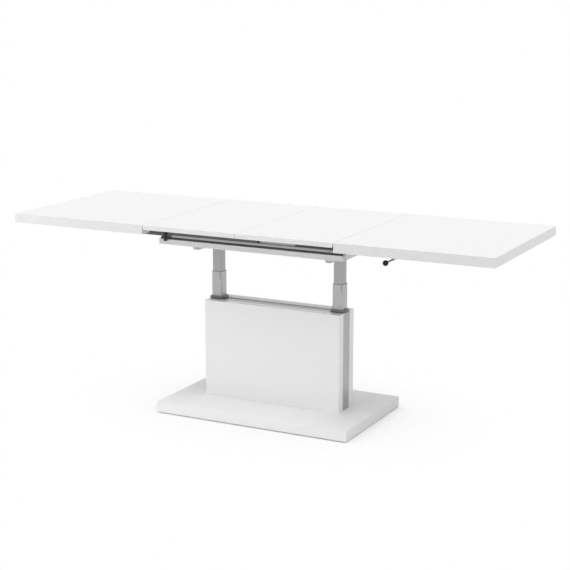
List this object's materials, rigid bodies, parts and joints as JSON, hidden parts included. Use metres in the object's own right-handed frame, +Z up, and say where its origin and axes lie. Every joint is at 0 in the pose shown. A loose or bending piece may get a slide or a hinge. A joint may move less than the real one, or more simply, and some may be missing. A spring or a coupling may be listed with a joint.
{
  "type": "extending coffee and dining table",
  "caption": "Extending table on a panel pedestal: sliding top halves, loose leaves, telescopic lift columns with gas springs and a release lever turn it from coffee to dining table.",
  "frame": {"origin": "on the floor, under the middle of the table", "axes": "+X along the length of the top, +Y from the front to the back, +Z up"},
  "size_m": [2, 0.7, 0.77],
  "materials": {
    "white_laminate": "white laminate on board, gloss",
    "edge_strip_board": "white laminate on board, satin",
    "white_edge_band": "white edge band, gloss",
    "pedestal_white": "white laminate on board, satin",
    "base_white": "white laminate on board, satin",
    "satin_aluminium": "satin anodised",
    "dark_slide_metal": "dark anodised",
    "upper_tube_metal": "satin silver grey",
    "middle_tube_metal": "satin silver grey",
    "outer_tube_metal": "satin silver grey",
    "frame_paint": "satin light grey",
    "collar_plastic": "fine grained",
    "black_plastic": "fine grained",
    "cap_plastic": "fine grained",
    "knob_plastic": "polished",
    "gas_cylinder_paint": "black enamel",
    "gas_rod_chrome": "ground and plated",
    "lever_steel": "zinc plated",
    "fastener_steel": "zinc plated",
    "sync_arm_metal": "zinc plated plate",
    "pulley_plastic": "moulded",
    "belt_rubber": "smooth",
    "dowel_wood": "turned beech"
  },
  "bodies": {
    "pedestal": {"base_board": "base_white", "base_glides": "black_plastic", "base_screws": "fastener_steel", "front_panel": "pedestal_white", "rear_panel": "pedestal_white", "panel_tie_bolts": "fastener_steel", "end_strips": "satin_aluminium", "top_cover": "satin_aluminium", "column_collars": "collar_plastic", "foot_plates": "outer_tube_metal", "left_outer_tube": "outer_tube_metal", "right_outer_tube": "outer_tube_metal", "left_gas_cylinder": "gas_cylinder_paint", "right_gas_cylinder": "gas_cylinder_paint"},
    "left_middle_stage": {"left_middle_tube": "middle_tube_metal"},
    "right_middle_stage": {"right_middle_tube": "middle_tube_metal"},
    "lift_head": {"left_upper_tube": "upper_tube_metal", "right_upper_tube": "upper_tube_metal", "left_gas_rod": "gas_rod_chrome", "right_gas_rod": "gas_rod_chrome", "left_crosshead": "frame_paint", "right_crosshead": "frame_paint", "crosshead_bolts": "fastener_steel", "front_frame_bar": "frame_paint", "rear_frame_bar": "frame_paint", "frame_end_caps": "cap_plastic", "cross_bars": "frame_paint", "packing_strips": "black_plastic", "front_fixed_rail": "satin_aluminium", "rear_fixed_rail": "satin_aluminium", "rail_screws": "fastener_steel", "rail_glides": "black_plastic", "rail_stops": "black_plastic", "slide_keepers": "black_plastic", "shaft_bearings": "black_plastic", "sync_belt": "belt_rubber", "pulley_axles": "fastener_steel"},
    "release_lever": {"release_rod": "lever_steel", "release_cams": "lever_steel", "lever_knob": "knob_plastic"},
    "left_valve_pin": {"left_release_pin": "lever_steel"},
    "right_valve_pin": {"right_release_pin": "lever_steel"},
    "left_belt_pulley": {"left_sync_pulley": "pulley_plastic"},
    "right_belt_pulley": {"right_sync_pulley": "pulley_plastic"},
    "left_half": {"left_top_board": "white_laminate", "left_edge_strips": "edge_strip_board", "left_edge_band": "white_edge_band", "left_front_slide": "dark_slide_metal", "left_rear_slide": "dark_slide_metal", "left_slide_screws": "fastener_steel", "left_sync_arm": "sync_arm_metal"},
    "right_half": {"right_top_board": "white_laminate", "right_edge_strips": "edge_strip_board", "right_edge_band": "white_edge_band", "right_front_slide": "dark_slide_metal", "right_rear_slide": "dark_slide_metal", "right_slide_screws": "fastener_steel", "right_sync_arm": "sync_arm_metal"},
    "left_loose_leaf": {"left_leaf": "white_laminate"},
    "right_loose_leaf": {"right_leaf": "white_laminate", "leaf_dowels": "dowel_wood"}
  },
  "joints": [
    {"name": "lift", "type": "slide", "parent": "pedestal", "child": "lift_head", "axis": [0, 0, 1], "range_m": [-0.2, 0]},
    {"name": "left_stage", "type": "slide", "parent": "pedestal", "child": "left_middle_stage", "axis": [0, 0, 1], "range_m": [-0.1, 0]},
    {"name": "right_stage", "type": "slide", "parent": "pedestal", "child": "right_middle_stage", "axis": [0, 0, 1], "range_m": [-0.1, 0]},
    {"name": "extension", "type": "slide", "parent": "lift_head", "child": "left_half", "axis": [1, 0, 0], "range_m": [0, 0.3995]},
    {"name": "right_half_slide", "type": "slide", "parent": "lift_head", "child": "right_half", "axis": [-1, 0, 0], "range_m": [0, 0.3995]},
    {"name": "left_leaf_lift_out", "type": "slide", "parent": "lift_head", "child": "left_loose_leaf", "axis": [0, 0, 1], "range_m": [0, 1.1985]},
    {"name": "right_leaf_lift_out", "type": "slide", "parent": "lift_head", "child": "right_loose_leaf", "axis": [0, 0, 1], "range_m": [0, 1.1985]},
    {"name": "left_pulley_turn", "type": "hinge", "parent": "lift_head", "child": "left_belt_pulley", "pos_m": [-0.3765, 0.11, 0.716], "axis": [0, 0, 1], "range_deg": [0, 871]},
    {"name": "right_pulley_turn", "type": "hinge", "parent": "lift_head", "child": "right_belt_pulley", "pos_m": [0.3765, 0.11, 0.716], "axis": [0, 0, 1], "range_deg": [0, 871]},
    {"name": "release", "type": "hinge", "parent": "lift_head", "child": "release_lever", "pos_m": [0, 0.03, 0.709], "axis": [1, 0, 0], "range_deg": [0, 10], "stiffness_Nm_per_rad": 2.5, "springref_deg": -20.05},
    {"name": "left_pin_push", "type": "slide", "parent": "lift_head", "child": "left_valve_pin", "axis": [0, 0, -1], "range_m": [0, 0.0058]},
    {"name": "right_pin_push", "type": "slide", "parent": "lift_head", "child": "right_valve_pin", "axis": [0, 0, -1], "range_m": [0, 0.0058]}
  ],
  "couplings": [
    {"joint": "left_stage", "follows": "lift", "ratio": 0.5},
    {"joint": "right_stage", "follows": "lift", "ratio": 0.5},
    {"joint": "right_half_slide", "follows": "extension", "ratio": 1},
    {"joint": "left_leaf_lift_out", "follows": "extension", "ratio": 3},
    {"joint": "right_leaf_lift_out", "follows": "extension", "ratio": 3},
    {"joint": "left_pulley_turn", "follows": "extension", "rad_per_m": 38.023},
    {"joint": "right_pulley_turn", "follows": "extension", "rad_per_m": 38.023},
    {"joint": "left_pin_push", "follows": "release", "m_per_rad": 0.033},
    {"joint": "right_pin_push", "follows": "release", "m_per_rad": 0.033}
  ]
}
